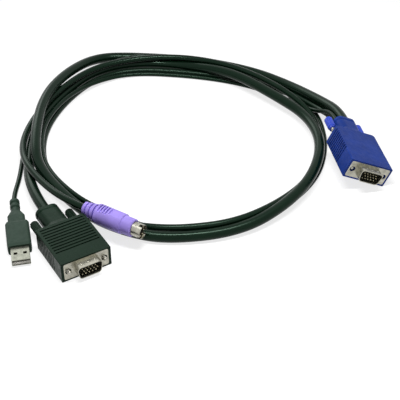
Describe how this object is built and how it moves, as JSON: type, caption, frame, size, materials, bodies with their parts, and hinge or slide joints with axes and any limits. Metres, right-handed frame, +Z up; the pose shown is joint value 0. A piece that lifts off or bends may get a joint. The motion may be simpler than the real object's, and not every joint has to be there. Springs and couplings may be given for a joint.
{
  "type": "kvm cable",
  "caption": "Coiled cable that joins a switch's display port to a computer's display, USB and PS/2 ports, with captive thumbscrews on its display plugs.",
  "frame": {"origin": "on the surface the cable lies on, below the middle of the box round its plugs", "axes": "+Z up, +X across the coil from the black, USB and PS/2 plugs towards the blue plug, +Y away from the open plug faces towards the far side of the coil"},
  "size_m": [0.2635, 0.2694, 0.0268],
  "materials": {
    "blue_plastic": "satin moulded plastic",
    "blue_knob": "glossy moulded plastic",
    "black_plastic": "satin moulded plastic",
    "cord_jacket": "smooth extruded jacket",
    "purple_plastic": "satin moulded plastic",
    "nickel": "nickel plate",
    "steel": "plated steel",
    "contact": "thin gold plate",
    "insulator": "moulded plastic"
  },
  "bodies": {
    "cable": {"switch_hood": "blue_plastic", "switch_shell": "nickel", "switch_insulator": "insulator", "switch_pins": "contact", "video_hood": "black_plastic", "video_shell": "nickel", "video_insulator": "insulator", "video_pins": "contact", "usb_moulding": "black_plastic", "usb_shell": "nickel", "usb_tongue": "insulator", "usb_contacts": "contact", "ps2_moulding": "purple_plastic", "ps2_tube": "nickel", "ps2_insulator": "insulator", "ps2_pins": "contact", "display_cord": "cord_jacket", "ps2_cord": "cord_jacket", "usb_cord": "cord_jacket"},
    "switch_left_thumbscrew": {"switch_left_knob": "blue_knob", "switch_left_screw": "steel"},
    "switch_right_thumbscrew": {"switch_right_knob": "blue_knob", "switch_right_screw": "steel"},
    "video_left_thumbscrew": {"video_left_knob": "black_plastic", "video_left_screw": "steel"},
    "video_right_thumbscrew": {"video_right_knob": "black_plastic", "video_right_screw": "steel"}
  },
  "joints": [
    {"name": "switch_left_turn", "type": "hinge", "parent": "cable", "child": "switch_left_thumbscrew", "pos_m": [0.10227, 0.01496, 0.01853], "axis": [0.1788, -0.9839, 0], "continuous": true},
    {"name": "switch_right_turn", "type": "hinge", "parent": "cable", "child": "switch_right_thumbscrew", "pos_m": [0.12473, 0.01904, 0.00837], "axis": [0.1788, -0.9839, 0], "continuous": true},
    {"name": "video_left_turn", "type": "hinge", "parent": "cable", "child": "video_left_thumbscrew", "pos_m": [-0.08371, -0.07594, 0.00745], "axis": [0.515, -0.8572, 0], "continuous": true},
    {"name": "video_right_turn", "type": "hinge", "parent": "cable", "child": "video_right_thumbscrew", "pos_m": [-0.06229, -0.06306, 0.00745], "axis": [0.515, -0.8572, 0], "continuous": true}
  ]
}
